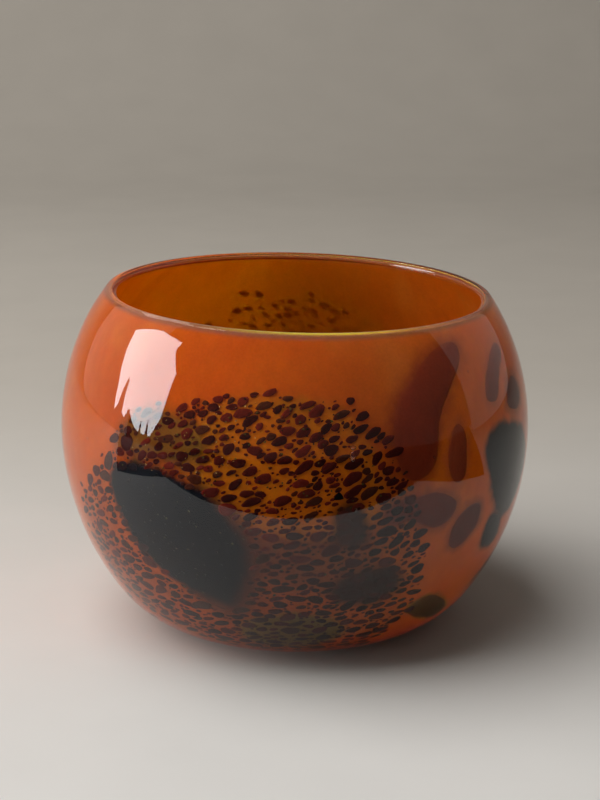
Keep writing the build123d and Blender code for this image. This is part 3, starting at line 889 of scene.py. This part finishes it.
# ------------------------------------------------------------------ the inclusion and the bubbles
stone_azimuth, stone_height, _ = where_is(islands(nodes["dark_inclusion"])[0][0])
stone_loop = smooth_loop([(-1.3, -0.7), (1.5, -0.5), (0.1, 1.5)], 6)
stone = gather_up(
    "dark_inclusion_stone",
    [pillow((stone_azimuth, stone_height), stone_loop, CHIP_LIFT + 0.3, 0.4, rings=5)],
)
paint(stone, np.full((len(stone.data.vertices), 3), 0.0015))
dress(stone, frit_mat, "dark_stone", "dark_inclusion")


def bubble(name, places):
    lumps = []
    for azimuth, height, long_half, wide_half, depth in places:
        t = np.linspace(0, 2 * math.pi, 24, endpoint=False)
        loop = np.stack([wide_half * np.cos(t), long_half * np.sin(t)], 1)
        lumps.append(pillow((azimuth, height), loop, 0.80 - depth / 2, depth, rings=9))
    obj = gather_up(name, lumps)
    obj.visible_shadow = False
    return dress(obj, air_mat, "clear_glass")


bubble("seed_bubbles", [
    (13.0, 74.2, 1.7, 1.05, 0.6), (13.1, 76.6, 0.6, 0.95, 0.5), (13.7, 58.2, 1.2, 0.45, 0.5),
    (-2, 47, 0.35, 0.35, 0.45), (33, 71, 0.4, 0.35, 0.45), (-57, 70, 0.4, 0.4, 0.45),
    (76, 45, 0.4, 0.4, 0.45), (128, 66, 0.45, 0.45, 0.5), (-150, 52, 0.4, 0.4, 0.45),
    (-20, 84, 0.3, 0.3, 0.4), (22, 60, 0.3, 0.5, 0.4), (-33, 60, 0.3, 0.3, 0.4), (48, 92, 0.35, 0.3, 0.4),
])

# ------------------------------------------------------------------ stage, light and camera
# Front, left and right edge of the table, in metres.
TABLE_EDGES = -0.175, -0.25, 0.22


def sweep():
    """Pale table that rises into a backdrop far behind the bowl, with painted shade that darkens it towards
    the back.
    """
    xs = np.linspace(-3.0, 3.0, 25)
    profile = [(-3.0, 0.0), (-1.5, 0.0), (-0.5, 0.0)] + [(y, 0.0) for y in np.arange(-0.2, 0.88, 0.06)]
    for a in np.linspace(0, math.pi / 2, 14):
        profile.append((0.9 + 0.5 * math.sin(a), 0.5 - 0.5 * math.cos(a)))
    profile += [(1.4, 1.2), (1.4, 2.4)]
    pts = np.array([(x, y, z) for x in xs for y, z in profile]) / MM
    m = len(profile)
    faces = [
        (i * m + j, (i + 1) * m + j, (i + 1) * m + j + 1, i * m + j + 1)
        for i in range(len(xs) - 1) for j in range(m - 1)
    ]
    obj = make_mesh("stage_sweep", pts, faces)
    # Painted shade: paler near the bowl and darker towards the back, for the window's light falling off with
    # distance.
    near, far = np.array((0.79, 0.790, 0.775)), np.array((0.51, 0.480, 0.432))
    share = smooth(points_of(obj)[:, 1] * MM, -0.20, 0.34)[:, None]
    paint(obj, near + (far - near) * share)
    mat, tree, shader = material("stage_paper", (0.60, 0.585, 0.56), 0.75)
    tone = add_node(tree, "ShaderNodeVertexColor", layer_name="Tint")
    mottle(tree, tone.outputs["Color"], shader.inputs["Base Color"], 0.05, 0.98, 1.02)
    obj.data.materials.append(mat)


def reflected_only(obj):
    for ray_kind in ("camera", "diffuse", "transmission", "shadow"):
        setattr(obj, "visible_" + ray_kind, False)


def dark_card():
    """The dark room beyond the table's edges, seen only as a reflection."""
    front, left, right = TABLE_EDGES
    outline = [(left, -0.04), (left, front), (right, front), (right, -0.01), (3, -0.01), (3, -3),
               (-3, -3), (-3, -0.04)]
    pts = np.array([(x, y, 0.002) for x, y in outline]) / MM
    obj = make_mesh("stage_dark_card", pts, [tuple(range(len(pts)))], False)
    mat, tree, shader = material("stage_dark", (0.015, 0.013, 0.012), 0.9)
    obj.data.materials.append(mat)
    reflected_only(obj)


def glow_card(name, outline, strength, colour):
    """A bright surface of the room, seen only as a reflection in the glass."""
    pts = np.array(outline) / MM
    obj = make_mesh(name, pts, [tuple(range(len(pts)))], False)
    mat, tree, shader = material(name, (0, 0, 0), 1.0)
    shader.inputs["Emission Color"].default_value = (*colour, 1)
    shader.inputs["Emission Strength"].default_value = strength
    obj.data.materials.append(mat)
    reflected_only(obj)


def area(name, place_at, aim, size_x, size_y, power, colour, glossy=True):
    data = bpy.data.lights.new(name, "AREA")
    data.shape = "RECTANGLE"
    data.size, data.size_y = size_x, size_y
    data.energy = power
    data.color = colour
    obj = bpy.data.objects.new(name, data)
    obj.location = place_at
    obj.rotation_euler = (Vector(aim) - Vector(place_at)).to_track_quat("-Z", "Y").to_euler()
    obj.visible_glossy = glossy
    bpy.context.scene.collection.objects.link(obj)
    return obj


def window_pane():
    """The bright window itself, seen only as a reflection in the glass."""
    outline = [(0.38, 0.79), (0.0, 1.05), (-0.46, 1.18), (-0.44, 1.05), (-0.66, 0.84), (-0.64, 0.47),
               (-0.62, 0.29), (-0.50, 0.08), (-0.46, 0.08), (-0.44, 0.24), (-0.42, 0.08), (-0.36, 0.08),
               (-0.34, 0.20), (-0.32, 0.08), (-0.24, 0.12), (-0.20, 0.16), (-0.12, 0.22), (-0.08, 0.14),
               (-0.03, 0.16), (0.0, 0.42), (0.03, 0.44), (0.05, 0.20), (0.09, 0.14), (0.15, 0.36)]
    glow_card("stage_window", [(-1.40, y, z) for y, z in outline], 10.0, (0.92, 0.97, 1.0))


sweep()
dark_card()
window_pane()
for side, x, front, top, strength, colour in (
    ("left", -1.46, -0.15, 1.6, 0.55, (1.0, 0.95, 0.90)),
    ("right", 1.30, 0.0, 1.5, 0.40, (1.0, 0.94, 0.88)),
):
    wall = [(x, front, 0.0), (x, 1.38, 0.0), (x, 1.38, top), (x, front, top)]
    glow_card(f"stage_{side}_wall", wall, strength, colour)
area("window", (-1.40, -0.13, 0.43), (0, 0, 0.10), 0.95, 0.76, 7.5, (1.0, 0.96, 0.92), glossy=False)
area("sky", (-0.60, -0.10, 1.15), (0, 0, 0.0), 1.2, 1.2, 15.5, (1.0, 0.97, 0.94), glossy=False)

world = bpy.data.worlds.new("room")
world.use_nodes = True
bpy.context.scene.world = world
tree = world.node_tree
tree.nodes.clear()
seen = add_node(tree, "ShaderNodeBackground")
seen.inputs["Color"].default_value = (0.30, 0.28, 0.25, 1)
felt = add_node(tree, "ShaderNodeBackground")
felt.inputs["Color"].default_value = (0.105, 0.096, 0.086, 1)
which = add_node(tree, "ShaderNodeMixShader")
ray = add_node(tree, "ShaderNodeLightPath")
out = add_node(tree, "ShaderNodeOutputWorld")
tree.links.new(ray.outputs["Is Camera Ray"], which.inputs[0])
tree.links.new(felt.outputs[0], which.inputs[1])
tree.links.new(seen.outputs[0], which.inputs[2])
tree.links.new(which.outputs[0], out.inputs["Surface"])

camera_data = bpy.data.cameras.new("camera")
camera_data.lens = 78.75
camera_data.sensor_width = 36.0
camera = bpy.data.objects.new("camera", camera_data)
bpy.context.scene.collection.objects.link(camera)
camera.location = (0.00157, -0.54448, 0.22398)
camera.rotation_euler = (math.radians(90 - 15.72), 0, 0)
bpy.context.scene.camera = camera

cycles = bpy.context.scene.cycles
cycles.max_bounces = 16
cycles.transmission_bounces = 14
cycles.glossy_bounces = 6
cycles.diffuse_bounces = 5
cycles.caustics_reflective = False
cycles.caustics_refractive = True
cycles.sample_clamp_indirect = 6.0
bpy.context.scene.view_settings.view_transform = "Standard"
